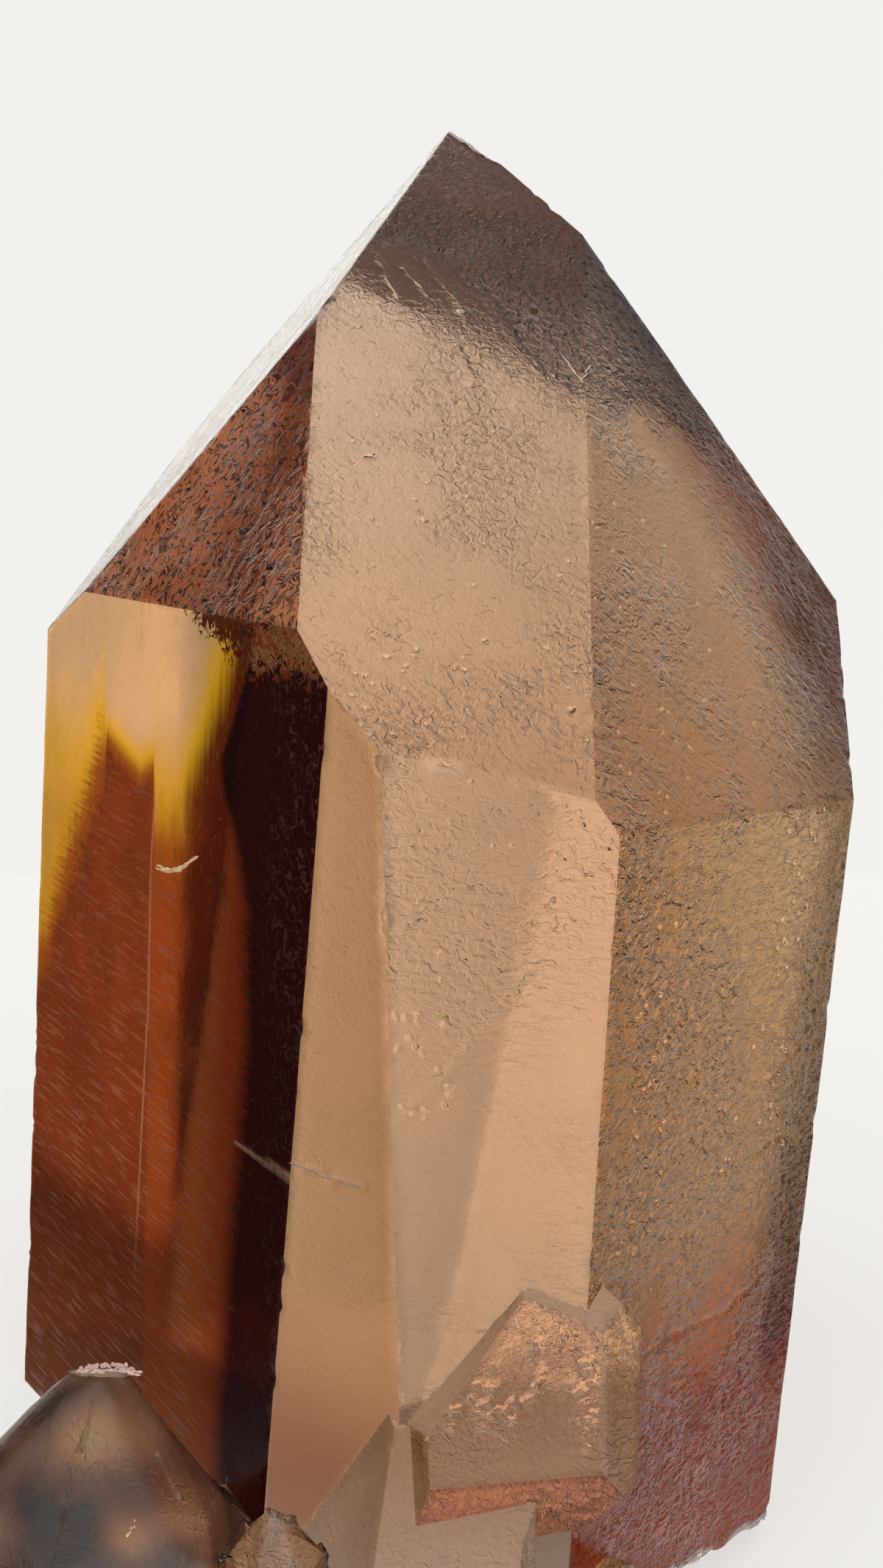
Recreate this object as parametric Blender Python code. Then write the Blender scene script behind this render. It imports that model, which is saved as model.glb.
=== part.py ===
"""Smoky quartz point with smaller crystals grown onto its foot.

One solid: a stout prism under large and small tip faces, with narrow step faces between them, a
clear side crystal and a lower one on the front of the foot, a smoky one at the front left with its
root behind it, and a few small points between them. The cluster leans a little, its foot is cut
off flat, and it stands on the cut.

Crystal faces are flat, so every crystal is a block that its faces cut. A face is given by the
compass direction it looks in (0 looks along -Y, 90 along +X), its lift above level, and its
distance from the crystal's own centre. Angles are in degrees and lengths in millimetres in the
tables below, and the model is in metres.
"""
from math import cos, radians, sin

import bmesh
import bpy
from mathutils import Matrix, Vector

NAME = "smoky_quartz"
MM = 0.001

# Main crystal, around a centre on its axis: face -> (direction, lift, distance).
MAIN_CENTRE = (0.0, 0.0, 0.0)
PRISM_FACES = {
    "front_left": (-57.4, -2.0, 12.4),
    "left_step": (-45.0, -3.0, 13.9),
    "front": (-2.4, 1.1, 17.9),
    "front_right": (54.6, 1.7, 17.6),
    "right_step": (90.6, -1.1, 22.7),
    "back_right": (106.5, 0.0, 28.4),
    "back": (172.0, -4.0, 38.7),
    "back_step": (199.2, -0.3, 33.2),
    "back_left": (-109.4, 1.8, 28.2),
}
TIP_FACES = {
    "left_tip": (-60.0, 29.3, 18.7),
    "front_tip": (8.0, 51.9, 19.2),
    "front_right_tip": (57.2, 36.4, 18.4),
    "left_sliver": (-82.1, 36.0, 24.2),
    "back_right_tip": (113.5, 37.1, 31.1),
    "back_tip": (182.3, 26.6, 39.4),
    "broken_tip": (60.0, 65.0, 32.3),
}

# Side crystals: centre beside the foot, and faces around it. The two clear ones grew nearly
# parallel to the main crystal. The smoky one leans back, and its top is worn off.
SIDE_CRYSTALS = {
    "clear": {
        "centre": (6.0, -18.0, -24.0),
        "faces": {
            "front": (0.0, 8.7, 2.2),
            "front_right": (40.0, 10.0, 4.5),
            "right": (90.0, 3.2, 6.2),
            "left": (-57.4, -1.0, 4.6),
            "top": (14.0, 41.8, 6.7),
            "left_tip": (-62.0, 30.4, 5.1),
            "back_right_tip": (118.0, 43.0, 9.1),
            "back": (175.0, 0.0, 6.0),
            "back_left": (-125.0, 0.0, 6.0),
            "front_undercut": (5.0, -20.0, 2.0),
            "right_undercut": (75.0, -37.0, 4.9),
        },
    },
    "low": {
        "centre": (1.0, -18.0, -30.0),
        "faces": {
            "front": (-5.0, 9.7, 1.9),
            "right": (55.0, 0.0, 9.6),
            "left": (-62.0, 7.9, 2.1),
            "top": (-10.0, 60.0, 7.0),
            "back_right": (115.0, 0.0, 5.0),
            "back": (175.0, 0.0, 6.0),
            "back_left": (-125.0, 0.0, 8.0),
        },
    },
    "smoky": {
        "centre": (-14.2, -17.8, -32.3),
        "lean": (-13.0, 0.0),
        "faces": {
            "front": (25.0, 0.0, 8.65),
            "right": (85.0, 0.0, 7.2),
            "back_right": (145.0, 0.0, 7.6),
            "back": (205.0, 0.0, 8.0),
            "left": (-95.0, 0.0, 8.0),
            "front_left": (-35.0, 0.0, 8.65),
            "front_tip": (25.0, 40.0, 8.4),
            "right_tip": (85.0, 38.0, 7.6),
            "back_right_tip": (145.0, 39.0, 7.0),
            "back_tip": (205.0, 39.0, 7.6),
            "left_tip": (-95.0, 38.0, 8.4),
            "front_left_tip": (-35.0, 40.0, 8.6),
            "worn_top": (180.0, 85.0, 10.6),
        },
    },
    "root": {
        "centre": (-9.7, -13.0, -37.2),
        "lean": (0.0, -4.0),
        "faces": {
            "front": (-5.0, 0.0, 6.5),
            "right": (55.0, 0.0, 9.5),
            "back_right": (115.0, 0.0, 7.5),
            "back": (175.0, 0.0, 7.0),
            "back_left": (-125.0, 0.0, 6.5),
            "left": (-65.0, 0.0, 6.5),
            "front_tip": (-5.0, 38.0, 5.0),
            "right_tip": (55.0, 38.0, 5.0),
            "back_right_tip": (115.0, 38.0, 6.0),
            "back_left_tip": (-125.0, 38.0, 4.6),
            "left_tip": (-65.0, 38.0, 5.0),
        },
    },
}

# Small points in the hollow between the side crystals: apex, half width, lean and turn.
SMALL_POINTS = {
    "point_a": ((-5.4, -21.4, -25.2), 2.2, (10.0, -8.0), 5.0),
    "point_b": ((-3.6, -21.4, -27.6), 2.0, (16.0, 8.0), 25.0),
    "point_c": ((-6.8, -24.6, -28.4), 2.2, (20.0, -6.0), -15.0),
    "point_d": ((12.6, -17.6, -29.0), 2.6, (16.0, 22.0), 12.0),
}
QUARTZ_LIFT = 38.2                  # lift of a quartz tip face

LEAN = 4.3                          # the cluster leans this much towards +X on its cut
FOOT_LEVEL = -38.8                  # the flat cut, below the main crystal's centre
FOOT_BREAKS = {
    "front_right": (44.7, -45.0, 36.6),
    "back": (150.0, -45.0, 50.0),
}

BLOCK_SIZE = 200.0                  # larger than any crystal here
FLAT_ANGLE = radians(0.5)

COLOUR = (0.36, 0.22, 0.13, 1.0)
ROUGHNESS = 0.08
IOR = 1.545


def facing(azimuth, lift):
    """Return the unit vector that looks in a compass direction, lifted above level."""
    turn = radians(azimuth)
    rise = radians(lift)
    return Vector((sin(turn) * cos(rise), -cos(turn) * cos(rise), sin(rise)))


def cut(mesh, point, normal):
    """Cut the mesh with a plane, drop what is on the normal's side and close the cut."""
    geometry = mesh.verts[:] + mesh.edges[:] + mesh.faces[:]
    result = bmesh.ops.bisect_plane(
        mesh, geom=geometry, plane_co=point, plane_no=normal, clear_outer=True)
    rim = [item for item in result["geom_cut"] if isinstance(item, bmesh.types.BMEdge)]
    if rim:
        bmesh.ops.holes_fill(mesh, edges=rim)


def crystal(centre, faces, lean=(0.0, 0.0)):
    """Return the mesh of the crystal whose faces stand around a centre.

    The axis leans towards -Y by the first angle and towards +X by the second.
    """
    mesh = bmesh.new()
    bmesh.ops.create_cube(mesh, size=BLOCK_SIZE * MM)
    bmesh.ops.translate(mesh, vec=Vector(centre) * MM, verts=mesh.verts[:])
    tilt = Matrix.Rotation(radians(lean[1]), 3, "Y") @ Matrix.Rotation(radians(lean[0]), 3, "X")
    for azimuth, lift, distance in faces.values():
        normal = tilt @ facing(azimuth, lift)
        cut(mesh, (Vector(centre) + normal * distance) * MM, normal)
    return mesh


def small_point(apex, half_width, lean, turn):
    """Return the mesh of a regular six-sided point."""
    faces = {}
    for side in range(6):
        azimuth = turn + 60.0 * side
        faces["side_%d" % side] = (azimuth, 0.0, half_width)
        faces["tip_%d" % side] = (azimuth, QUARTZ_LIFT, 0.0)
    return crystal(apex, faces, lean)


def add_object(name, mesh, collection):
    """Turn a mesh under construction into an object of the collection."""
    data = bpy.data.meshes.new(name)
    mesh.normal_update()
    mesh.to_mesh(data)
    mesh.free()
    thing = bpy.data.objects.new(name, data)
    collection.objects.link(thing)
    return thing


def add_side(name, mesh, collection):
    """Add a side crystal, which is only shown as a wire once it is fused."""
    side = add_object(name + "_side_crystal", mesh, collection)
    side.hide_render = True
    side.display_type = "WIRE"
    return side


def fuse(thing, others):
    """Fuse the other crystals into the thing with exact Booleans."""
    for other in others:
        union = thing.modifiers.new(other.name, "BOOLEAN")
        union.operation = "UNION"
        union.solver = "EXACT"
        union.object = other
    bpy.context.view_layer.update()
    evaluated = thing.evaluated_get(bpy.context.evaluated_depsgraph_get())
    fused = bpy.data.meshes.new_from_object(evaluated)
    thing.modifiers.clear()
    thing.data = fused


def finish_foot(thing):
    """Lean the cluster, break its foot's corners, cut it flat and stand it over the origin."""
    mesh = bmesh.new()
    mesh.from_mesh(thing.data)
    bmesh.ops.transform(mesh, matrix=Matrix.Rotation(radians(LEAN), 4, "Y"), verts=mesh.verts[:])
    for azimuth, lift, distance in FOOT_BREAKS.values():
        normal = facing(azimuth, lift)
        cut(mesh, normal * distance * MM, normal)
    cut(mesh, Vector((0.0, 0.0, FOOT_LEVEL * MM)), Vector((0.0, 0.0, -1.0)))
    bmesh.ops.dissolve_limit(
        mesh, angle_limit=FLAT_ANGLE, verts=mesh.verts[:], edges=mesh.edges[:])
    xs = [vertex.co.x for vertex in mesh.verts]
    ys = [vertex.co.y for vertex in mesh.verts]
    middle = Vector(((min(xs) + max(xs)) / 2, (min(ys) + max(ys)) / 2, FOOT_LEVEL * MM))
    bmesh.ops.translate(mesh, vec=-middle, verts=mesh.verts[:])
    mesh.to_mesh(thing.data)
    mesh.free()
    print("crystal's centre stands at", [round(value / MM, 3) for value in -middle], "mm")


def smoky_material():
    """Return the clear brown material."""
    material = bpy.data.materials.new("smoky_quartz")
    material.use_nodes = True
    shader = material.node_tree.nodes["Principled BSDF"]
    shader.inputs["Base Color"].default_value = COLOUR
    shader.inputs["Roughness"].default_value = ROUGHNESS
    shader.inputs["Metallic"].default_value = 0.0
    shader.inputs["IOR"].default_value = IOR
    return material


def main():
    for thing in list(bpy.data.objects):
        bpy.data.objects.remove(thing, do_unlink=True)
    parts = bpy.data.collections.new(NAME)
    cutters = bpy.data.collections.new("cutters")
    bpy.context.scene.collection.children.link(parts)
    bpy.context.scene.collection.children.link(cutters)

    quartz = add_object(NAME, crystal(MAIN_CENTRE, {**PRISM_FACES, **TIP_FACES}), parts)
    sides = []
    for name, values in SIDE_CRYSTALS.items():
        sides.append(add_side(name, crystal(**values), cutters))
    for name, values in SMALL_POINTS.items():
        sides.append(add_side(name, small_point(*values), cutters))
    fuse(quartz, sides)
    finish_foot(quartz)
    quartz.data.materials.clear()
    quartz.data.materials.append(smoky_material())


main()
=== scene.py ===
import random
from math import ceil, cos, radians, sin, tau

import bmesh
import bpy
import numpy as np
from mathutils import Matrix, Vector
from mathutils.geometry import delaunay_2d_cdt


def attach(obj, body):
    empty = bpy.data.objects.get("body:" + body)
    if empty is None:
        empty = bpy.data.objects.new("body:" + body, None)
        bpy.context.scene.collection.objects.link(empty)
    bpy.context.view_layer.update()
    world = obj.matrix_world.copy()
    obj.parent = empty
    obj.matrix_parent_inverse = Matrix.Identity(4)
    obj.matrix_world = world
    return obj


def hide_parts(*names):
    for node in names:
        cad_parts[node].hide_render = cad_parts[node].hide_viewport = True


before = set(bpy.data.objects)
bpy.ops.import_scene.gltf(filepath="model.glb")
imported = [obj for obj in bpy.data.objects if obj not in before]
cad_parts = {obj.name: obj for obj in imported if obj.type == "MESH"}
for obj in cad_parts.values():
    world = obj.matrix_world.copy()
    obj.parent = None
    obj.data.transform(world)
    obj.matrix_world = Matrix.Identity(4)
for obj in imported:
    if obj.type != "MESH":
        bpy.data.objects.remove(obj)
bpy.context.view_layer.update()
mm = 0.001


# shader maths
class Tree:
    # a node tree, and the one way in which nodes are added to it
    def __init__(self, owner):
        owner.use_nodes = True
        self.nodes = owner.node_tree.nodes
        self.links = owner.node_tree.links
        self.nodes.clear()

    def node(self, kind, settings=None, inputs=None, output=0):
        made = self.nodes.new(kind)
        for name, value in (settings or {}).items():
            if name == "stops":
                self.setStops(made.color_ramp, value)
            else:
                setattr(made, name, value)
        for name, value in (inputs or {}).items():
            socket = made.inputs[name]
            if isinstance(value, Field):
                self.links.new(value.socket, socket)
            else:
                socket.default_value = (*value, 1.0) if socket.type == "RGBA" else value
        made.location = (220 * (len(self.nodes) % 12), -180 * (len(self.nodes) // 12))
        return Field(self, made, output)

    def mix(self, factor, first, second, blend="MIX"):
        return self.node(
            "ShaderNodeMix", {"data_type": "RGBA", "blend_type": blend},
            {0: factor, 6: first, 7: second}, output=2)

    def setStops(self, ramp, stops):
        while len(ramp.elements) < len(stops):
            ramp.elements.new(0.5)
        for element, (place, value) in zip(ramp.elements, stops):
            element.position = place
            element.color = (value, value, value, 1.0)


class Field:
    # an output socket whose operators add Math nodes
    def __init__(self, tree, made, output=0):
        self.tree = tree
        self.made = made
        self.socket = made.outputs[output] if len(made.outputs) else None

    def out(self, output):
        return Field(self.tree, self.made, output)

    def math(self, operation, first, second=0.0):
        return self.tree.node("ShaderNodeMath", {"operation": operation}, {0: first, 1: second})

    def __add__(self, other):
        return self.math("ADD", self, other)

    def __radd__(self, other):
        return self.math("ADD", other, self)

    def __sub__(self, other):
        return self.math("SUBTRACT", self, other)

    def __rsub__(self, other):
        return self.math("SUBTRACT", other, self)

    def __mul__(self, other):
        return self.math("MULTIPLY", self, other)

    def __rmul__(self, other):
        return self.math("MULTIPLY", other, self)

    def __truediv__(self, other):
        return self.math("DIVIDE", self, other)

    def __rtruediv__(self, other):
        return self.math("DIVIDE", other, self)

    def __abs__(self):
        return self.math("ABSOLUTE", self)

    def lesser(self, other):
        return self.math("MINIMUM", self, other)

    def fall(self, low, high, atLow=0.0, atHigh=1.0, kind="SMOOTHSTEP"):
        # runs from one value to another between low and high
        return self.tree.node(
            "ShaderNodeMapRange", {"interpolation_type": kind},
            {"Value": self, "From Min": low, "From Max": high, "To Min": atLow, "To Max": atHigh})


# noise for the relief
def latticeNoise(points, seed):
    # smooth value noise from -1 to 1 on a lattice of step 1
    cell = np.floor(points).astype(np.int64)
    part = points - cell
    part = part * part * (3.0 - 2.0 * part)
    total = np.zeros(len(points))
    for corner in range(8):
        step = np.array([corner & 1, (corner >> 1) & 1, corner >> 2])
        place = cell + step
        key = (place @ np.array([374761393, 668265263, 1274126177]) + seed * 974711) & 0xFFFFFFFF
        key = ((key ^ (key >> 13)) * 1103515245) & 0xFFFFFFFF
        key = ((key ^ (key >> 16)) * 69069) & 0xFFFFFFFF
        value = (key ^ (key >> 15)) / 2147483647.5 - 1.0
        weight = np.prod(np.where(step, part, 1.0 - part), axis=1)
        total += value * weight
    return total


def fractalNoise(points, wave, octaves, seed):
    total = np.zeros(len(points))
    size = 1.0
    for octave in range(octaves):
        total += size * latticeNoise(points / wave * 2.0 ** octave, seed + octave)
        size *= 0.5
    return total


def smooth(value, low, high):
    share = np.clip((value - low) / (high - low), 0.0, 1.0)
    return share * share * (3.0 - 2.0 * share)


# the cluster's faces
cluster = {
    "centre": (1.898, -4.414, 38.8),    # of the main crystal, in mm
    "lean": 4.3,
    # looks towards (0 = -Y, 90 = +X), lift above level, distance from the centre
    "faces": {
        "frontLeft": (-57.4, -2.0, 12.4),
        "leftStep": (-45.0, -3.0, 13.9),
        "front": (-2.4, 1.1, 17.9),
        "frontRight": (54.6, 1.7, 17.6),
        "rightStep": (90.6, -1.1, 22.7),
        "backRight": (106.5, 0.0, 28.4),
        "back": (172.0, -4.0, 38.7),
        "backStep": (199.2, -0.3, 33.2),
        "backLeft": (-109.4, 1.8, 28.2),
        "leftTip": (-60.0, 29.3, 18.7),
        "frontTip": (8.0, 51.9, 19.2),
        "frontRightTip": (57.2, 36.4, 18.4),
        "leftSliver": (-82.1, 36.0, 24.2),
        "backRightTip": (113.5, 37.1, 31.1),
        "backTip": (182.3, 26.6, 39.4),
        "brokenTip": (60.0, 65.0, 32.3),
    },
    "footBreaks": ((44.7, -45.0), (150.0, -45.0)),
    # crystals at the foot, around middles that are measured from the main one's centre
    "clear": {
        "centre": (6.0, -18.0, -24.0),
        "faces": {
            "clearFront": (0.0, 8.7, 2.2),
            "clearStrip": (40.0, 10.0, 4.5),
            "clearLeft": (-57.4, -1.0, 4.6),
            "clearTop": (14.0, 41.8, 6.7),
            "clearBand": (-62.0, 30.4, 5.1),
            "clearUnder": (5.0, -20.0, 2.0),
        },
    },
    "low": {
        "centre": (1.0, -18.0, -30.0),
        "faces": {"lowFront": (-5.0, 9.7, 1.9), "lowLeft": (-62.0, 7.9, 2.1)},
    },
    "smoky": {
        "centre": (-14.2, -17.8, -32.3), "reach": 12.5, "least": 6.6, "most": 9.9, "top": 10.6,
        # painted glows, lighter places of painted light in the crystal: middle, reach, what they
        # add to the tint
        "glows": (
            ((-14.6, -20.2, -23.1), 1.7, (1.1, 0.82, 0.5)),
            ((-12.0, -23.4, -26.2), 1.1, (0.8, 0.7, 0.5))),
    },
}

# How each face is finished. step: mesh step in mm. relief: height of its slow waves in mm. rough:
# of broken ground. grain, threads, pits, worms: shares of the fine texture. fine: how fine it is.
# angle: how its threads lie, in degrees up from level. haze: roughness. tint: what light that
# crosses the face keeps. mottle: how uneven that is. shifts: along u (across) or v (up), from a
# place where the tint is times a colour to one where it is plain. dense, hazes: the same for the
# grain and the haze. calm: a line below which grain and pits fade. smoke: a line above which the
# face is grey and grainy. round: how deep and how wide its edges are rounded, in mm.
plainFinish = {
    "step": 0.5, "relief": 0.012, "grain": 0.3, "threads": 0.05, "pits": 0.1, "worms": 0.0,
    "angle": 0.0, "haze": 0.03, "tint": (1.0, 1.0, 1.0), "rough": 0.0, "shifts": (), "dense": (),
    "hazes": (), "calm": None, "smoke": None, "round": None, "mottle": 0.0, "fine": 1.0,
}
finishes = {
    "frontLeft": {
        "step": 0.42, "grain": 0.10, "relief": 0.006, "haze": 0.05,
        "hazes": (("v", -24.0, -4.0, 0.12),)},
    "leftStep": {
        "step": 0.42, "grain": 0.15, "threads": 0.05, "angle": -30.0,
        "hazes": (("v", -19.0, -13.5, 0.42),),
        # painted warm light: pinker towards the foot
        "shifts": (("v", -26.0, -15.0, (1.0, 0.78, 0.74)),)},
    "front": {
        "step": 0.42, "grain": 0.36, "threads": 0.10, "pits": 0.9, "tint": (0.81, 0.83, 0.89),
        "shifts": (("v", -16.0, -4.0, (0.86, 0.88, 0.91)),),
        "calm": ((9.6, 5.2), (-0.1, -7.2))},
    "frontRight": {
        "step": 0.42, "grain": 1.4, "threads": 1.6, "pits": 0.9, "angle": 4.0, "fine": 0.75,
        "tint": (1.0, 0.90, 0.74), "dense": (("u", -9.0, 3.0, 1.6),),
        # painted light and shade: the first shift paints warm red light towards the foot, the last
        # paints shade, darker towards the right edge
        "shifts": (
            ("v", -26.0, -14.0, (0.82, 0.20, 0.07)), ("u", -9.0, 1.0, (0.94, 0.88, 0.80)),
            ("v", 7.0, -6.0, (1.06, 1.09, 1.14)), ("u", 19.0, 11.0, (0.95, 0.82, 0.66)))},
    "rightStep": {"grain": 0.9, "threads": 0.6, "pits": 0.5, "tint": (0.9, 0.84, 0.8)},
    "leftTip": {
        "step": 0.36, "grain": 1.4, "threads": 0.1, "pits": 0.3, "worms": 1.0, "angle": 60.0,
        "relief": 0.02, "fine": 0.62, "tint": (1.0, 0.64, 0.52)},
    "frontTip": {
        "step": 0.40, "grain": 0.9, "threads": 0.2, "pits": 0.8, "angle": -57.0,
        "tint": (0.90, 0.89, 0.90), "dense": (("v", -10.0, 0.0, 1.7),),
        "smoke": (
            (-9.0, 34.0), (-4.2, 32.6), (-1.2, 31.7), (0.2, 30.0), (2.4, 27.1), (3.1, 24.6),
            (4.8, 21.6), (6.5, 20.8)),
        # painted shade: darker towards the top
        "shifts": (("v", 24.0, 0.0, (0.70, 0.65, 0.62)),)},
    "frontRightTip": {
        "step": 0.42, "grain": 1.4, "threads": 0.6, "pits": 0.9, "angle": -50.0, "fine": 0.75,
        "tint": (0.73, 0.63, 0.55), "dense": (("u", -10.0, 8.0, 1.9),),
        "smoke": ((0.0, 23.0), (7.2, 21.2), (11.5, 19.6), (18.5, 18.4)),
        # the first shift is painted shade, darker towards the right edge
        "shifts": (("u", 18.5, 11.5, (0.44, 0.24, 0.16)), ("u", -10.0, -8.4, (1.15, 1.22, 1.25)))},
    "leftSliver": {
        "grain": 1.2, "threads": 7.0, "angle": 76.5, "haze": 0.15, "fine": 0.6,
        "tint": (0.84, 0.76, 0.73)},
    "brokenTip": {"step": 0.3, "grain": 1.6, "rough": 0.12},
    "footBreak": {"grain": 0.8, "haze": 0.15, "rough": 0.30},
    "cut": {"step": 1.2, "relief": 0.0, "grain": 0.5, "haze": 0.8, "tint": (1.0, 0.92, 0.88)},
    "clearFront": {
        "step": 0.3, "grain": 0.5, "threads": 0.3, "angle": 30.0, "tint": (1.0, 0.93, 0.90)},
    "clearStrip": {"step": 0.3, "grain": 0.6, "threads": 0.3, "angle": 90.0},
    "clearTop": {"step": 0.3, "grain": 0.2, "threads": 0.1},
    "clearBand": {"step": 0.3, "grain": 0.1, "threads": 0.0},
    "clearLeft": {"step": 0.36, "grain": 0.5},
    "clearUnder": {
        "step": 0.36, "grain": 1.6, "threads": 1.2, "angle": 80.0, "haze": 0.3,
        "tint": (0.66, 0.42, 0.38)},
    "lowFront": {"step": 0.36, "grain": 0.6}, "lowLeft": {"step": 0.36, "grain": 0.5},
    "smoky": {
        "step": 0.4, "grain": 0.7, "threads": 0.05, "haze": 0.30, "relief": 0.03, "mottle": 1.0,
        "tint": (0.62, 0.41, 0.32), "round": (0.45, 2.4)},
    "smokyTop": {"step": 0.3, "grain": 2.4, "haze": 0.6, "rough": 0.10, "tint": (1.0, 0.96, 0.93)},
    "side": {
        "step": 0.36, "grain": 1.6, "threads": 0.8, "haze": 0.15, "relief": 0.02, "mottle": 0.4,
        "tint": (1.2, 0.9, 0.66)},
}
# How the grey grainy patch by the apex looks, how uneven the smoky crystal's tint is, and how
# patchy the grain and the pits are. Waves and levels in mm.
marks = {
    "smokeTint": (0.92, 0.90, 0.94),
    "smokeGrain": 4.5,
    "smokeHaze": 0.25,
    "smokeEdge": (-1.6, 1.2),
    "raggedWave": 2.4,
    "raggedHeight": 1.2,
    "mottleWave": 5.0,
    "mottleWarmth": (0.9, 1.0, 1.1),
    "mottleMean": 0.7,
    "mottleRange": (0.12, 1.6),
    "mottleRise": 0.03,         # lighter by this for each mm above the level
    "mottleLevel": 12.0,
    "patchWave": 4.5,
    "patchLeast": 0.3,
    "calmGrain": 0.25,
    "calmPits": 0.1,
}

# Pits on the tip face: place across and up the face from its middle, length, width, depth, turn
pits = {
    "frontTip": (
        (-5.2, 13.5, 0.40, 0.12, 0.16, 15.0), (-2.6, 9.0, 0.20, 0.16, 0.14, 0.0),
        (-0.3, 11.0, 0.16, 0.13, 0.10, 0.0), (0.05, 0.8, 0.26, 0.16, 0.15, 20.0),
        (3.9, -3.4, 0.26, 0.18, 0.15, 50.0), (0.2, 26.0, 0.34, 0.22, 0.16, 0.0),
        (-5.6, 24.0, 0.25, 0.14, 0.12, 0.0),
    ),
}
# Clusters of small pits: middle, half widths, how many, size
pitClusters = {
    "front": (
        (0.3, -4.5, 2.2, 3.0, 26, 0.17), (-1.0, 5.0, 2.5, 5.0, 16, 0.14),
        (5.5, 8.0, 3.5, 2.0, 8, 0.14)),
    "frontRight": (
        (9.0, 2.0, 2.2, 5.0, 22, 0.2), (-6.0, -2.0, 2.0, 5.0, 16, 0.18),
        (6.0, -9.0, 5.0, 4.0, 20, 0.19), (-5.0, -12.0, 2.5, 5.0, 14, 0.17)),
    "frontTip": ((-1.0, 6.0, 6.0, 12.0, 26, 0.12), (-3.0, -3.0, 4.0, 3.0, 14, 0.14)),
    "frontRightTip": ((2.0, 8.0, 6.0, 8.0, 26, 0.15), (-4.0, 0.0, 4.0, 4.0, 16, 0.17)),
}
for number, (name, clusters) in enumerate(pitClusters.items()):
    draw = random.Random(100 + number)
    scattered = [
        (x + draw.uniform(-1, 1) * wide, y + draw.uniform(-1, 1) * high,
         size * draw.uniform(0.8, 1.7), size * draw.uniform(0.6, 1.0),
         size * draw.uniform(0.5, 0.9), draw.uniform(-60, 60))
        for x, y, wide, high, count, size in clusters for index in range(count)]
    pits[name] = pits.get(name, ()) + tuple(scattered)

# Cracks and growth lines: points across and up the face, then width and depth
cracks = {
    "frontTip": (
        (((-4.2, 30.6), (-3.2, 27.0)), 0.13, 0.08),
        (((-2.9, 29.8), (-1.5, 27.2)), 0.11, 0.06),
        (((-1.6, 30.3), (-0.1, 27.4), (0.6, 25.2)), 0.12, 0.07),
        (((0.0, 22.9), (0.6, 20.4), (0.4, 18.9), (0.9, 17.5), (2.0, 15.9), (3.3, 14.7)),
         0.13, 0.08),
        (((-2.8, 21.0), (-1.2, 16.3)), 0.10, 0.05),
        (((-1.4, 21.0), (-0.3, 18.9)), 0.09, 0.05),
    ),
    "frontRight": (
        (((-9.8, 2.0), (-8.6, 4.2), (-6.0, 5.2), (-3.0, 5.1), (-0.5, 4.3), (1.5, 4.4)),
         0.22, 0.07),
        (((-9.0, 1.4), (-7.4, 3.5), (-4.8, 4.2), (-2.0, 4.0)), 0.18, 0.05),
        (((-4.0, -3.4), (-2.0, -2.8), (-1.0, -3.9)), 0.20, 0.08),
        (((5.0, -8.0), (7.5, -8.6), (9.5, -7.4), (10.5, -9.2)), 0.22, 0.08),
        (((6.0, -12.5), (9.0, -12.0), (11.5, -13.2)), 0.20, 0.07),
        (((-7.0, -21.0), (-2.0, -20.2), (4.0, -20.8), (9.0, -20.0)), 0.20, 0.06),
    ),
    "leftStep": (
        (((3.5, -10.8), (5.6, -10.5), (8.4, -10.4), (10.4, -10.1)), 0.20, 0.08),),
    "front": (
        (((9.9, 5.6), (6.2, 1.0), (3.4, -2.6), (-0.1, -7.4)), 0.30, 0.035),
        (((4.5, -17.2), (6.0, -16.4), (7.6, -16.9)), 0.20, 0.08),
        (((9.2, 7.9), (9.9, 7.5), (10.4, 8.0)), 0.20, 0.10),
    ),
}

# Ragged dents of the clear crystal at the foot: middle, how many, spread, turn
dents = {
    "clearFront": (
        (4.4, -23.2, 30, (2.0, 1.2), 20.0), (9.1, -22.6, 26, (0.5, 2.5), 35.0),
        (6.9, -21.2, 9, (0.25, 1.4), 80.0)),
    "clearUnder": ((5.4, -17.5, 12, (1.6, 0.9), 70.0), (8.2, -17.6, 12, (0.9, 1.2), 75.0)),
}
for number, (name, groups) in enumerate(dents.items()):
    draw = random.Random(200 + number)
    for x, y, count, (wide, high), turn in groups:
        for index in range(count):
            start = (x + draw.uniform(-wide, wide), y + draw.uniform(-high, high))
            lean = radians(turn + draw.uniform(-35.0, 35.0))
            size = draw.uniform(0.25, 0.6)
            bend = draw.uniform(-0.12, 0.12)
            half = 0.5 * size
            middle = (
                start[0] + half * cos(lean) - bend * sin(lean),
                start[1] + half * sin(lean) + bend * cos(lean))
            end = (start[0] + size * cos(lean), start[1] + size * sin(lean))
            crack = ((start, middle, end), draw.uniform(0.12, 0.2), draw.uniform(0.06, 0.12))
            cracks[name] = cracks.get(name, ()) + (crack,)

# Waves of the faces, in mm, and how close to an edge they end
waves = {"slow": 3.2, "quick": 0.95, "broken": 2.6, "edge": 1.2}

# How finely cracks are followed and how far they wander, in mm
crackLine = {"step": 0.16, "wave": 0.7, "wander": 0.18}

# Wear of the edges, in mm
wear = {"least": 0.02, "more": 0.05, "wave": 1.6, "chip": 0.35, "chipWave": 1.1, "chipFrom": 0.42}

leaning = Matrix.Rotation(radians(cluster["lean"]), 3, "Y")


def facing(azimuth, lift):
    turn = radians(azimuth)
    rise = radians(lift)
    return Vector((sin(turn) * cos(rise), -cos(turn) * cos(rise), sin(rise)))


def standing(centre):
    # a place that is measured from the main crystal's centre, in the part's frame
    return leaning @ Vector(centre) + Vector(cluster["centre"])


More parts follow.
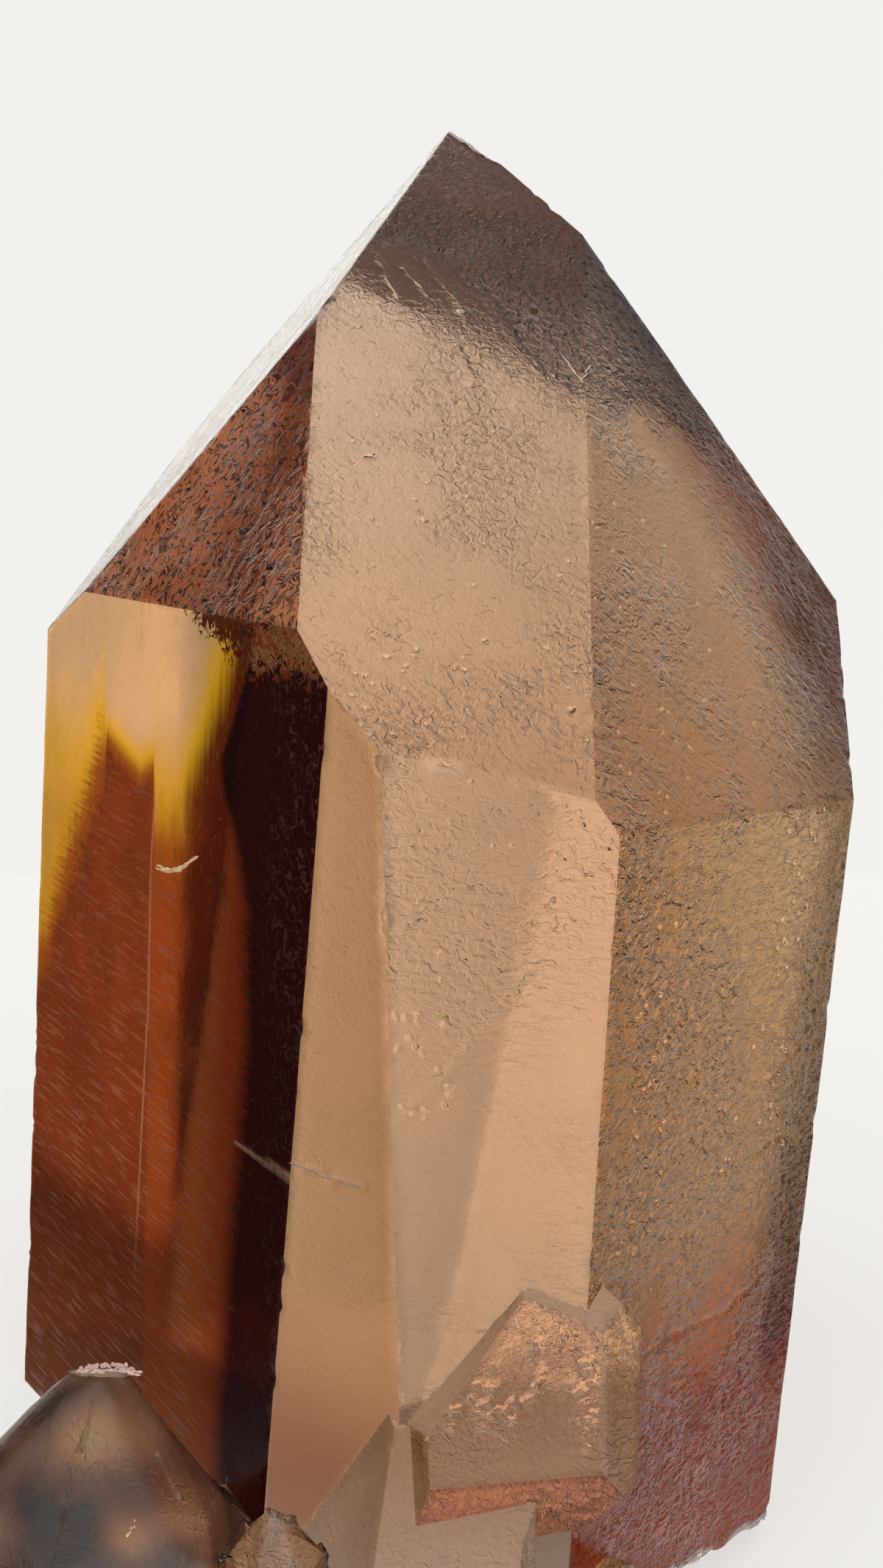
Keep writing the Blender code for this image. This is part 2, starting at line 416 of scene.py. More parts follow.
def nameFacet(normal, middle):
    # the name of the finish for a face of the solid
    if normal.z < -0.999:
        return "cut"
    main = {"centre": (0.0, 0.0, 0.0), "faces": cluster["faces"]}
    for crystal in (main, cluster["clear"], cluster["low"]):
        reach = middle - standing(crystal["centre"])
        for name, (azimuth, lift, distance) in crystal["faces"].items():
            expected = leaning @ facing(azimuth, lift)
            if normal.angle(expected) < radians(1.0) and abs(expected.dot(reach) - distance) < 0.3:
                return name
    for azimuth, lift in cluster["footBreaks"]:
        if normal.angle(facing(azimuth, lift)) < radians(1.0):
            return "footBreak"
    smoky = cluster["smoky"]
    reach = middle - standing(smoky["centre"])
    if reach.length < smoky["reach"] and smoky["least"] < normal.dot(reach) < smoky["most"]:
        return "smoky"
    if reach.length < smoky["reach"] and abs(normal.dot(reach) - smoky["top"]) < 0.3:
        return "smokyTop"
    return "side"


def readFacets():
    # the flat faces of the CAD solid: name, normal, outline
    mesh = bmesh.new()
    mesh.from_mesh(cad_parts["smoky_quartz"].data)
    bmesh.ops.remove_doubles(mesh, verts=mesh.verts[:], dist=0.001 * mm)
    bmesh.ops.dissolve_limit(
        mesh, angle_limit=radians(0.6), verts=mesh.verts[:], edges=mesh.edges[:])
    corners = np.array([vertex.co for vertex in mesh.verts]) / mm
    facets = []
    for face in mesh.faces:
        middle = face.calc_center_median() / mm
        facets.append({
            "name": nameFacet(face.normal, middle),
            "normal": np.array(face.normal),
            "loop": [vertex.index for vertex in face.verts],
        })
    bends = {}
    for edge in mesh.edges:
        ends = tuple(sorted(vertex.index for vertex in edge.verts))
        bends[ends] = edge.calc_face_angle_signed()
    mesh.free()
    return corners, facets, bends


def faceAxes(normal):
    # across and up the face, seen from outside
    axis = np.array(leaning @ Vector((0.0, 0.0, 1.0)))
    if abs(axis @ normal) > 0.95:
        axis = np.array([0.0, 1.0, 0.0])
    across = np.cross(axis, normal)
    across /= np.linalg.norm(across)
    return across, np.cross(normal, across)


def insideOutline(points, outline):
    inside = np.zeros(len(points), bool)
    for last, here in zip(np.roll(outline, 1, axis=0), outline):
        if here[1] != last[1]:
            crosses = (here[1] > points[:, 1]) != (last[1] > points[:, 1])
            at = (last[0] - here[0]) * (points[:, 1] - here[1]) / (last[1] - here[1]) + here[0]
            inside ^= crosses & (points[:, 0] < at)
    return inside


def distanceToOutline(points, outline):
    nearest = np.full(len(points), 1e9)
    for last, here in zip(np.roll(outline, 1, axis=0), outline):
        nearest = np.minimum(nearest, distanceToSegment(points, last, here))
    return nearest


def distanceToSegment(points, start, end):
    run = end - start
    share = np.clip((points - start) @ run / max(run @ run, 1e-12), 0.0, 1.0)
    return np.linalg.norm(points - start - share[:, None] * run, axis=1)


def alongCrack(path):
    # points close together along a crack, with the way across it
    path = np.array(path)
    places, acrosses = [], []
    for start, end in zip(path, path[1:]):
        run = end - start
        count = max(2, ceil(np.linalg.norm(run) / crackLine["step"]))
        normal = np.array([-run[1], run[0]]) / np.linalg.norm(run)
        for index in range(count):
            places.append(start + run * index / count)
            acrosses.append(normal)
    places, acrosses = np.array(places), np.array(acrosses)
    spread = np.column_stack([places, np.zeros(len(places))])
    wander = latticeNoise(spread / crackLine["wave"], 41) * crackLine["wander"]
    return places + acrosses * wander[:, None], acrosses


def detailPoints(name):
    # extra mesh points where a face has pits and cracks
    found = []
    for x, y, length, width, depth, turn in pits.get(name, ()):
        for ring, count in ((0.0, 1), (0.35, 7), (0.7, 11), (1.05, 14), (1.5, 16)):
            for index in range(count):
                angle, lean = tau * index / count + ring, radians(turn)
                u, v = length * ring * cos(angle), width * ring * sin(angle)
                found.append((x + u * cos(lean) - v * sin(lean), y + u * sin(lean) + v * cos(lean)))
    for path, width, depth in cracks.get(name, ()):
        places, acrosses = alongCrack(path)
        for shift in (-1.0, 0.0, 1.0):
            found.extend(places + acrosses * width * shift)
    return np.array(found).reshape(-1, 2)


def detailRelief(name, points):
    depthMap = np.zeros(len(points))
    for x, y, length, width, depth, turn in pits.get(name, ()):
        lean = radians(turn)
        away = points - np.array([x, y])
        u = (away[:, 0] * cos(lean) + away[:, 1] * sin(lean)) / length
        v = (-away[:, 0] * sin(lean) + away[:, 1] * cos(lean)) / width
        reach = np.sqrt(u * u + v * v)
        depthMap -= depth * (1.0 - smooth(reach, 0.25, 1.15))
        depthMap += 0.15 * depth * np.exp(-((reach - 1.3) / 0.2) ** 2)
    for path, width, depth in cracks.get(name, ()):
        places, acrosses = alongCrack(path)
        nearest = np.full(len(points), 1e9)
        for start, end in zip(places, places[1:]):
            close = np.abs(points - start).max(axis=1) < 1.0
            if close.any():
                gap = distanceToSegment(points[close], start, end)
                nearest[close] = np.minimum(nearest[close], gap)
        depthMap -= depth * (1.0 - smooth(nearest, 0.0, width))
    return depthMap


def facetGrid(name, step, outline):
    # points inside a face's outline, closer together by its pits and cracks
    low, high = outline.min(0), outline.max(0)
    grid = [np.zeros((0, 2))]
    for row, height in enumerate(np.arange(low[1] + 0.37 * step, high[1], step * 0.866)):
        line = np.arange(low[0] + (0.5 * step if row % 2 else 0.0), high[0], step)
        grid.append(np.column_stack([line, np.full(len(line), height)]))
    grid = np.concatenate(grid)
    extra = detailPoints(name)
    for spot in extra:
        grid = grid[np.abs(grid - spot).max(axis=1) > 0.13]
    grid = np.concatenate([grid, extra])
    grid = grid[insideOutline(grid, outline)]
    return grid[distanceToOutline(grid, outline) > 0.45 * step]


def facetRelief(facet, flat, world, edgeGap):
    finish = facet["finish"]
    inner = smooth(edgeGap, 0.0, waves["edge"])
    quick = 0.8 * (latticeNoise(world / waves["quick"], 9) - 1.0) * finish["grain"]
    relief = finish["relief"] * (fractalNoise(world, waves["slow"], 2, 5) - 1.5) * inner
    relief += finish["relief"] * quick * inner
    relief += finish["rough"] * (fractalNoise(world, waves["broken"], 3, 17) - 1.2)
    relief += detailRelief(facet["name"], flat)
    if finish["round"]:
        deep, wide = finish["round"]
        relief -= deep * np.square(1.0 - smooth(edgeGap, 0.0, wide))
    return relief


def facetEdges(loop):
    return [tuple(sorted(ends)) for ends in zip(loop, loop[1:] + loop[:1])]


def buildRelief():
    # every face of the solid as a fine grid, with its relief
    corners, facets, bends = readFacets()
    centre = np.array(cluster["centre"])
    places = list(corners)
    steps = {}
    for facet in facets:
        facet["finish"] = {**plainFinish, **finishes.get(facet["name"], {})}
        for ends in facetEdges(facet["loop"]):
            steps[ends] = min(steps.get(ends, 9.0), facet["finish"]["step"])
    between = {}
    edgeTurns = {}          # points on edges between faces: how sharply the edge turns
    for ends, step in steps.items():
        start, end = corners[ends[0]], corners[ends[1]]
        count = max(1, round(np.linalg.norm(end - start) / step))
        between[ends] = [ends[0], *range(len(places), len(places) + count - 1), ends[1]]
        places.extend(start + (end - start) * index / count for index in range(1, count))
        for index in between[ends]:
            edgeTurns[index] = min(edgeTurns.get(index, 9.0), bends[ends])
    triangles, owners, pushes = [], [], {}
    for number, facet in enumerate(facets):
        normal, loop = facet["normal"], facet["loop"]
        across, upward = faceAxes(normal)
        rim = []
        for start, ends in zip(loop, facetEdges(loop)):
            chain = between[ends]
            rim.extend((chain if chain[0] == start else chain[::-1])[:-1])
        origin = centre + normal * (normal @ (corners[loop[0]] - centre))
        axes = np.column_stack([across, upward])
        outline = (corners[loop] - origin) @ axes
        rimFlat = (np.array([places[index] for index in rim]) - origin) @ axes
        grid = facetGrid(facet["name"], facet["finish"]["step"], outline)
        rimCount = len(rim)
        links = [(index, (index + 1) % rimCount) for index in range(rimCount)]
        made = delaunay_2d_cdt(
            [Vector(point) for point in np.concatenate([rimFlat, grid])], links, [], 1, 1e-7)
        spots, faces, origins = made[0], made[2], made[3]
        ids = []
        for index, spot in enumerate(spots):
            source = origins[index][0] if origins[index] else -1
            if 0 <= source < rimCount:
                ids.append(rim[source])
            else:
                ids.append(len(places))
                places.append(origin + across * spot.x + upward * spot.y)
        ids = np.array(ids)
        flat = np.array([tuple(spot) for spot in spots])
        edgeGap = distanceToOutline(flat, outline)
        relief = facetRelief(facet, flat, np.array([places[index] for index in ids]), edgeGap)
        for index, height in zip(ids, relief):
            pushes.setdefault(index, []).append((number, height))
        triangles.extend([ids[index] for index in face] for face in faces)
        owners.extend([number] * len(faces))
        facet.update(origin=origin, across=across, upward=upward)
        facet.update(points=ids, gaps=np.minimum(edgeGap, 3.0))
    print("grid:", len(places), "points,", len(triangles), "triangles")
    return np.array(places), facets, np.array(triangles), np.array(owners), pushes, edgeTurns


def pushPoints(places, facets, pushes, edgeTurns):
    # move each point by the relief of the faces that meet in it, and wear the edges
    rimIndex = np.array(sorted(edgeTurns))
    noiseSlow = latticeNoise(places[rimIndex] / wear["wave"], 21)
    noiseChip = latticeNoise(places[rimIndex] / wear["chipWave"], 23)
    worn = wear["least"] + wear["more"] * (0.5 + 0.5 * noiseSlow)
    worn += wear["chip"] * np.clip(noiseChip - wear["chipFrom"], 0.0, 1.0)
    wornAt = dict(zip(rimIndex.tolist(), worn.tolist()))
    moved = places.copy()
    for index, entries in pushes.items():
        if len(entries) == 1:
            number, height = entries[0]
            moved[index] += facets[number]["normal"] * height
            continue
        normals = np.array([facets[number]["normal"] for number, height in entries])
        heights = np.array([height for number, height in entries])
        if edgeTurns.get(index, 0.0) >= 0.0:
            heights = heights - wornAt[index]
        heights[[facets[number]["name"] == "cut" for number, height in entries]] = 0.0
        square = normals @ normals.T + 0.02 * np.eye(len(entries))
        moved[index] += normals.T @ np.linalg.solve(square, heights)
    moved[:, 2] = np.where(places[:, 2] < 1e-6, 0.0, np.maximum(moved[:, 2], 0.0))
    return moved


def makeCrystal():
    places, facets, triangles, owners, pushes, edgeTurns = buildRelief()
    moved = pushPoints(places, facets, pushes, edgeTurns)
    data = bpy.data.meshes.new("quartzCluster")
    data.from_pydata(moved * mm, [], triangles.tolist())
    data.update()
    print("mesh:", len(data.vertices), len(data.polygons))
    # sharp where two faces meet
    loopEdges = np.zeros(len(data.loops), int)
    data.loops.foreach_get("edge_index", loopEdges)
    loopOwner = np.repeat(owners, 3)
    edgeOwner = np.full(len(data.edges), -1)
    edgeOwner[loopEdges] = loopOwner
    different, hard = np.zeros(len(data.edges), bool), np.zeros(len(data.edges), bool)
    different[loopEdges[edgeOwner[loopEdges] != loopOwner]] = True
    soft = np.array([facet["finish"]["round"] is not None for facet in facets])
    hard[loopEdges[~soft[loopOwner]]] = True
    data.polygons.foreach_set("use_smooth", np.ones(len(data.polygons), bool))
    sharp = data.attributes.new("sharp_edge", "BOOLEAN", "EDGE")
    sharp.data.foreach_set("value", different & hard)
    paintFaces(data, facets, owners, places)
    data.materials.append(makeCrystalMaterial("smokyQuartz", onFlank=False))
    data.materials.append(makeCrystalMaterial("smokyQuartzFlank", onFlank=True))
    onFlank = np.array([facet["name"] == "frontLeft" for facet in facets])[owners]
    data.polygons.foreach_set("material_index", onFlank.astype(np.int32))
    crystal = bpy.data.objects.new("quartzCluster", data)
    bpy.context.scene.collection.objects.link(crystal)
    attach(crystal, "root")
    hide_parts("smoky_quartz")
    return facets


def paintFacet(values, spot, u, v):
    # the tint and the shares of grain, threads, pits and haze all over a face
    def ramp(along, start, end):
        return np.clip(((u if along == "u" else v) - start) / (end - start), 0.0, 1.0)

    colour = np.tile(values["tint"], (len(u), 1))
    for along, start, end, kept in values["shifts"]:
        share = ramp(along, start, end)[:, None]
        colour *= np.array(kept) * (1.0 - share) + share
    grain = np.full(len(u), values["grain"])
    for along, start, end, times in values["dense"]:
        grain *= times + (1.0 - times) * ramp(along, start, end)
    pitted = np.full(len(u), values["pits"])
    haze = np.full(len(u), values["haze"])
    for along, start, end, more in values["hazes"]:
        haze += more * (1.0 - ramp(along, start, end))
    ragged = marks["raggedHeight"] * fractalNoise(spot, marks["raggedWave"], 3, 31)
    if values["calm"]:
        start, end = np.array(values["calm"])
        below = (end[0] - start[0]) * (v - start[1]) - (end[1] - start[1]) * (u - start[0])
        calm = smooth(below / np.linalg.norm(end - start) + 0.5 * ragged, -0.3, 0.5)
        grain *= 1.0 + (marks["calmGrain"] - 1.0) * calm
        pitted *= 1.0 + (marks["calmPits"] - 1.0) * calm
    if values["smoke"]:
        border = np.array(values["smoke"])
        above = v - np.interp(u, border[:, 0], border[:, 1])
        smoky = smooth(above + ragged, *marks["smokeEdge"])
        colour *= 1.0 + (np.array(marks["smokeTint"]) - 1.0) * smoky[:, None]
        grain *= 1.0 + (marks["smokeGrain"] - 1.0) * smoky
        haze += marks["smokeHaze"] * smoky
    if values["mottle"]:
        uneven = fractalNoise(spot, marks["mottleWave"], 3, 61)[:, None]
        uneven -= marks["mottleRise"] * (spot[:, 2:] - marks["mottleLevel"])
        uneven = values["mottle"] * np.array(marks["mottleWarmth"]) * uneven
        colour *= np.clip(marks["mottleMean"] - uneven, *marks["mottleRange"])
        # painted glows: light added to the smoky crystal's tint
        for glowAt, glowReach, glowColour in cluster["smoky"]["glows"]:
            near = np.linalg.norm(spot - standing(glowAt), axis=1) / glowReach
            colour += np.exp(-near * near)[:, None] * np.array(glowColour)
    patchy = smooth(fractalNoise(spot, marks["patchWave"], 2, 51), -0.5, 0.6)
    patchy = marks["patchLeast"] + (1.0 - marks["patchLeast"]) * patchy
    shares = np.column_stack([grain * patchy, values["threads"] * patchy, pitted * patchy, haze])
    return np.square(np.minimum(colour, 1.0)), shares      # crossing takes the colour's root


def paintFaces(data, facets, owners, places):
    # maps in mm over each face, one for its threads, and how it is finished
    loops = len(data.loops)
    vertexOf = np.zeros(loops, int)
    data.loops.foreach_get("vertex_index", vertexOf)
    ownerOf = np.repeat(owners, 3)
    faceMap, threadMap = np.zeros((loops, 2)), np.zeros((loops, 2))
    tint, finish = np.ones((loops, 4)), np.zeros((loops, 4))
    rim, worms = np.zeros(loops), np.zeros(loops)
    for number, facet in enumerate(facets):
        mine = ownerOf == number
        values = facet["finish"]
        spot = places[vertexOf[mine]]
        away = spot - facet["origin"]
        u, v = away @ facet["across"], away @ facet["upward"]
        faceMap[mine] = np.column_stack([u, v]) * values["fine"]
        lean = radians(values["angle"])
        threadMap[mine] = np.column_stack([
            u * cos(lean) + v * sin(lean) + 37.0 * number, -u * sin(lean) + v * cos(lean)])
        tint[mine, :3], finish[mine] = paintFacet(values, spot, u, v)
        gaps = np.zeros(len(places))
        gaps[facet["points"]] = facet["gaps"]
        rim[mine] = gaps[vertexOf[mine]]
        worms[mine] = values["worms"]
    for name, values in (("faceMap", faceMap), ("threadMap", threadMap)):
        layer = data.uv_layers.new(name=name)
        layer.uv.foreach_set("vector", values.astype(np.float32).ravel())
    for name, kind, field, values in (
            ("tint", "FLOAT_COLOR", "color", tint), ("finish", "FLOAT_COLOR", "color", finish),
            ("rim", "FLOAT", "value", rim), ("worms", "FLOAT", "value", worms)):
        layer = data.attributes.new(name, kind, "CORNER")
        layer.data.foreach_set(field, values.astype(np.float32).ravel())


# the crystals' material
quartz = {
    "ior": 1.545,
    "absorbed": (0.7025, 0.4275, 0.115),     # a metre of it takes density times 1 - this
    "density": 40.0,
    "grainScale": (2.0, 2.0, 1.0),
    "grainHeight": 0.08,
    "threadScale": (0.9, 2.6, 1.0),
    "threadWidth": 0.05,
    "threadHeight": 0.02,
    "pitHeight": 0.06,
    # painted light and shade of the relief: where it is painted as lit from, and how strongly
    "paintedLightFrom": (0.55, 0.0, 0.83),
    "contrast": 6.0,
    "wormContrast": 1.7,
    "wormWidth": 0.13,
    "wormMean": 0.45,
    "holes": (0.69, 0.74),
    # painted shade in the pits
    "holeShade": 0.4,
    "wornReach": 0.35,
    "wornHaze": 0.35,
    "shade": 0.86,          # what an even face lets through of the grain's light
}

# The flank at the front left: bright tongues above, brown below, a black band by its right edge.
# The tongues are painted light and the band is painted shade. Places are in mm across and up the
# face, colours are what light takes on in crossing it.
flank = {
    "deepLeft": (0.32, 0.044, 0.009),
    "deepRight": (0.55, 0.078, 0.007),
    "brown": (0.32, 0.014, 0.0010),
    "orange": (0.80, 0.20, 0.008),
    "amber": (1.0, 0.66, 0.03),
    "olive": (0.95, 0.78, 0.25),
    "cream": (1.0, 1.0, 0.85),
    "black": (0.0130, 0.0001, 0.0002),
    "dash": (0.62, 0.24, 0.24),
    "line": (0.8, 0.52, 0.6),
    "speck": (0.7, 0.6, 0.8),
    "smear": (0.16, 0.06, 0.12),
    "rough": (0.62, 0.36, 0.20),
    # painted glow of the tongues, given as emission
    "glow": (0.38, 0.215, 0.004),
    "paleGlow": (0.31, 0.20, 0.10),
    "splinter": ((1.1, -12.15), (8.2, -11.7)),
    "lower": (      # across, level at which the tongues end
        (-27.0, -12.0), (-25.0, -9.9), (-23.4, -6.2), (-20.4, -2.0), (-18.7, 0.8), (-17.5, 2.8),
        (-16.5, 3.6), (-16.3, 5.8), (-11.6, 4.5), (-9.75, 5.4), (-9.5, 0.5), (-5.0, 0.8)),
    "right": (      # level, how far across the tongues reach
        (0.6, -6.4), (2.1, -5.0), (5.2, -4.2), (7.6, -2.8), (10.7, -0.6), (14.2, 1.1), (16.5, 2.4)),
    "band": (       # level, where the black band starts
        (-34.0, -0.1), (-27.4, 0.2), (-20.6, 0.8), (-6.3, 2.2), (1.5, 1.6), (4.5, 0.2), (6.6, -1.2),
        (8.2, -1.4), (10.0, -0.3), (13.9, 1.6), (16.5, 2.6)),
    "course": (     # level, where the pale line runs
        (-34.0, -11.7), (-23.5, -11.2), (-9.5, -10.15), (-8.9, -10.0), (0.0, -9.95), (5.0, -9.45)),
    "top": (        # across, level above which the tip's worms run down over the flank
        (-12.0, 17.0), (-6.0, 15.6), (-3.5, 14.4), (2.0, 13.4), (6.0, 14.2), (10.0, 14.0)),
}


def curve(field, points):
    # a value that follows the points, as a ramp
    low, high = points[0][0], points[-1][0]
    least = min(value for place, value in points)
    most = max(value for place, value in points)
    stops = [
        ((place - low) / (high - low), (value - least) / (most - least)) for place, value in points]
    along = field.fall(low, high, kind="LINEAR")
    ramp = field.tree.node("ShaderNodeValToRGB", {"stops": stops}, {0: along})
    return ramp * (most - least) + least


def stretchedNoise(tree, vector, scale, detail, roughness, distortion):
    stretched = tree.node("ShaderNodeMapping", None, {"Vector": vector, "Scale": scale})
    return tree.node("ShaderNodeTexNoise", {"noise_dimensions": "2D"}, {
        "Vector": stretched, "Scale": 1.0, "Detail": detail, "Roughness": roughness,
        "Distortion": distortion})


def paintFlank(tree, faceMap, u, v, grains):
    def noise(across, up, detail=2.0, distortion=0.0):
        return stretchedNoise(tree, faceMap, (across, up, 1.0), detail, 0.5, distortion)

    def between(field, low, high, soft):
        return field.fall(low - soft, low + soft) * field.fall(high - soft, high + soft, 1.0, 0.0)

    def lay(mask, name):
        return tree.mix(mask, colour, flank[name])

    dashes = noise(0.32, 4.0, 2.0, 0.15)
    wisps = noise(1.6, 0.14)

    # the tongues of painted light, from their edge inwards: orange, yellow, then olive or cream
    middle = between(u, -16.42, -9.65, 0.05)
    above = v - curve(u, flank["lower"])
    tail = u.fall(-17.5, -16.5, 1.0, 0.0)
    above = above * (0.7 + 1.6 * middle) + (dashes - 0.5) * 2.6 * tail
    inside = above.lesser((curve(v, flank["right"]) - u) * 1.1 + 0.5)
    inside = inside + (wisps - 0.5) * 1.5 * above.fall(0.0, 3.0) * (1.0 - middle)
    colour = tree.mix(u.fall(-10.1, -9.7), flank["deepLeft"], flank["deepRight"])
    colour = lay(u.fall(-5.0, 1.5), "brown")
    colour = lay(inside.fall(-1.2, 1.0), "orange")
    colour = lay(inside.fall(0.6, 2.8), "amber")
    shaded = between(u + v * 0.12, -13.2, -8.6, 0.9) * above.fall(3.0, 8.0, 1.0, 0.0)
    paler = (v.fall(3.0, 10.5) + u.fall(-17.0, -16.2)).lesser(1.0)
    light = tree.mix(paler * (1.0 - shaded), flank["olive"], flank["cream"])
    pale = inside.fall(2.4, 6.6)
    colour = tree.mix(pale, colour, light)
    # painted glow: the tongues also give off light as emission
    glow = tree.mix(pale * paler, flank["glow"], flank["paleGlow"])
    glowing = inside.fall(0.4, 3.6) * v.fall(0.0, 9.0, 0.5, 1.0)

    # level dashes in the brown, and the pale line down it
    strokes = dashes.fall(0.54, 0.68) * u.fall(-6.0, -1.0, 1.0, 0.2) * v.fall(-26.0, 2.0, 0.9, 0.35)
    colour = lay(strokes * inside.fall(-1.5, 0.5, 1.0, 0.0), "dash")
    line = abs(u - curve(v, flank["course"])).fall(0.06, 0.17, 1.0, 0.0)
    line = line * v.fall(-27.0, -20.0) * v.fall(4.6, 5.0, 1.0, 0.0)
    colour = lay(line * 0.85, "line")
    for across, low, high in ((-11.65, 12.0, 14.8), (-19.8, 10.6, 13.6), (-17.6, 6.8, 8.8)):
        hair = abs(u - across).fall(0.03, 0.10, 1.0, 0.0) * between(v, low, high, 0.4)
        colour = lay(hair * 0.6, "brown")

    # the black band of painted shade, with its dust and smears
    soft = v.fall(2.0, 8.0, 1.0, 0.25)
    band = ((u - curve(v, flank["band"]) + (dashes - 0.5) * 1.4 * soft) / soft).fall(-1.5, 0.9)
    colour = lay(band, "black")
    specks = grains.fall(0.80, 0.84) * u.fall(-4.0, 2.5, 0.1, 1.0) * v.fall(-20.0, -6.0, 0.3, 1.0)
    colour = lay(specks, "speck")
    smears = noise(1.7, 1.7, 4.0, 1.4).fall(0.52, 0.76) * u.fall(2.5, 7.5)
    colour = lay(smears * v.fall(-12.0, 4.0, 0.25, 1.0), "smear")

    (left, level), (right, higher) = flank["splinter"]
    away = v - u.fall(left, right, level, higher, "LINEAR") + (dashes - 0.5) * 0.5
    splinter = abs(away).fall(0.04, u.fall(left, right, 0.2, 0.5, "LINEAR"), 1.0, 0.0)
    splinter = splinter * between(u, left, right, 0.1) * grains.fall(0.35, 0.6, 0.4, 1.0)
    colour = lay(splinter * 0.8, "speck")

    # the tip's worms, over the flank's top
    ragged = v - curve(u, flank["top"]) + (grains - 0.5) * 5.0
    over = ragged.fall(-0.3, 0.3)
    wormy = abs(grains - 0.5).fall(0.0, quartz["wormWidth"], 1.0, 0.0)
    colour = tree.mix(over, colour, tree.mix(wormy, flank["brown"], flank["rough"]))
    glowing = glowing * (1.0 - band) * (1.0 - over)
    return colour, tree.mix(glowing, (0.0, 0.0, 0.0), glow)


def makeCrystalMaterial(name, onFlank):
    material = bpy.data.materials.new(name)
    tree = Tree(material)
    faceMap = tree.node("ShaderNodeUVMap", {"uv_map": "faceMap"})
    finish = tree.node("ShaderNodeAttribute", {"attribute_name": "finish"})
    parts = tree.node("ShaderNodeSeparateColor", None, {0: finish})
    grain, threaded, pitted = parts.out("Red"), parts.out("Green"), parts.out("Blue")
    haze = finish.out("Alpha")

    def attribute(name, output="Fac"):
        return tree.node("ShaderNodeAttribute", {"attribute_name": name}).out(output)

    def ridge(wave, width):
        return abs(wave - 0.5).fall(0.0, width, 1.0, 0.0)

    # fine relief: grain, threads and small pits
    grains = stretchedNoise(tree, faceMap, quartz["grainScale"], 2.5, 0.6, 0.9)
    holes = grains.fall(*quartz["holes"], 0.0, -1.0)
    height = grains * grain * quartz["grainHeight"] + holes * pitted * quartz["pitHeight"]
    if not onFlank:
        threadMap = tree.node("ShaderNodeUVMap", {"uv_map": "threadMap"})
        threads = stretchedNoise(tree, threadMap, quartz["threadScale"], 3.0, 0.6, 0.6)
        threads = ridge(threads, quartz["threadWidth"])
        height = height + threads * threaded * quartz["threadHeight"]
    bump = tree.node("ShaderNodeBump", None, {"Strength": 1.0, "Distance": mm, "Height": height})

    worn = attribute("rim").fall(0.0, quartz["wornReach"], quartz["wornHaze"], 0.0)
    worn = worn * grains.fall(0.4, 0.6)
    inputs = {
        "Roughness": haze + worn,
        "IOR": quartz["ior"],
        "Transmission Weight": 1.0,
        "Normal": bump,
    }
    if onFlank:
        split = tree.node("ShaderNodeSeparateXYZ", None, {0: faceMap})
        colour, glow = paintFlank(tree, faceMap, split.out("X"), split.out("Y"), grains)
        inputs["Base Color"] = colour
        # the tongues' painted glow
        inputs["Emission Color"] = glow
        inputs["Emission Strength"] = 1.0
    else:
        # painted light and shade: the relief's slopes are made lighter or darker in the colour as
        # if lit from above right, and the pits darker
        geometry = tree.node("ShaderNodeNewGeometry")
        slope = tree.node("ShaderNodeVectorMath", {"operation": "SUBTRACT"}, {
            0: bump, 1: geometry.out("Normal")})
        light = tree.node("ShaderNodeVectorMath", {"operation": "DOT_PRODUCT"}, {
            0: slope, 1: quartz["paintedLightFrom"]}).out("Value") * quartz["contrast"]
        light = light + holes * pitted * quartz["holeShade"]
        wormy = (ridge(grains, quartz["wormWidth"]) - quartz["wormMean"]) * attribute("worms")
        light = light + wormy * quartz["wormContrast"]
        shade = (light + quartz["shade"]).fall(0.0, 1.0, kind="LINEAR")
        grey = tree.node(
            "ShaderNodeCombineColor", None, {"Red": shade, "Green": shade, "Blue": shade})
        inputs["Base Color"] = tree.mix(1.0, attribute("tint", "Color"), grey, "MULTIPLY")
    shader = tree.node("ShaderNodeBsdfPrincipled", None, inputs)
    volume = tree.node("ShaderNodeVolumeAbsorption", None, {
        "Color": quartz["absorbed"], "Density": quartz["density"]})
    tree.node("ShaderNodeOutputMaterial", None, {"Surface": shader, "Volume": volume})
    return material


facets = makeCrystal()
print("crystals made")
